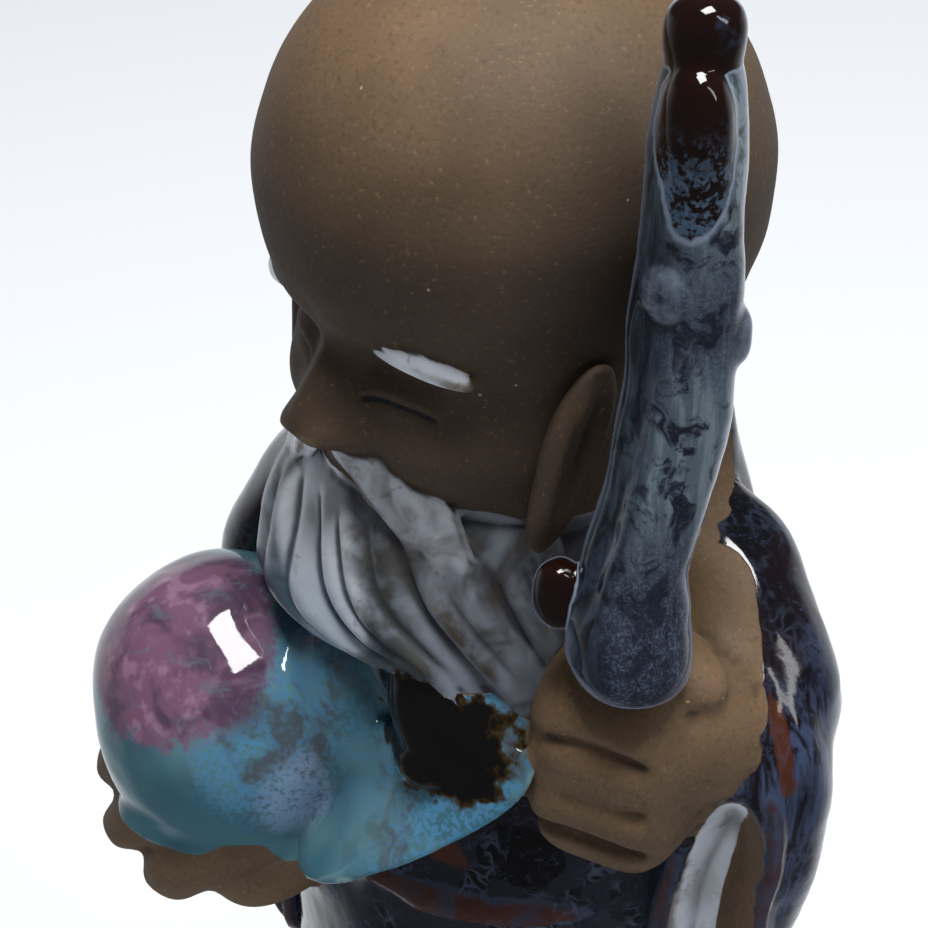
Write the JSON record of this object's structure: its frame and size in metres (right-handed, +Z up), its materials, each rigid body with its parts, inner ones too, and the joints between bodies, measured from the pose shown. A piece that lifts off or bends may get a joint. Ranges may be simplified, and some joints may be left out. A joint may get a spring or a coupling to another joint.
{
  "type": "shoulao figure",
  "caption": "Standing glazed stoneware figure of an old man with a high domed head, a long beard, a peach in one hand and a gnarled staff in the other.",
  "frame": {"origin": "middle of the flat underside of the foot", "axes": "+Z up, the figure faces -Y, its left hand with the staff is at +X"},
  "size_m": [0.1082, 0.1075, 0.257],
  "materials": {
    "clay": "matte, unglazed speckled stoneware",
    "robe_glaze": "glossy dark blue and brown flambe glaze",
    "white_glaze": "satin white glaze, thin on the ridges",
    "peach_glaze": "glossy turquoise glaze with a pink flush",
    "staff_glaze": "glossy milky grey blue over brown glaze"
  },
  "bodies": {
    "root": {"figure": "clay"}
  },
  "joints": []
}
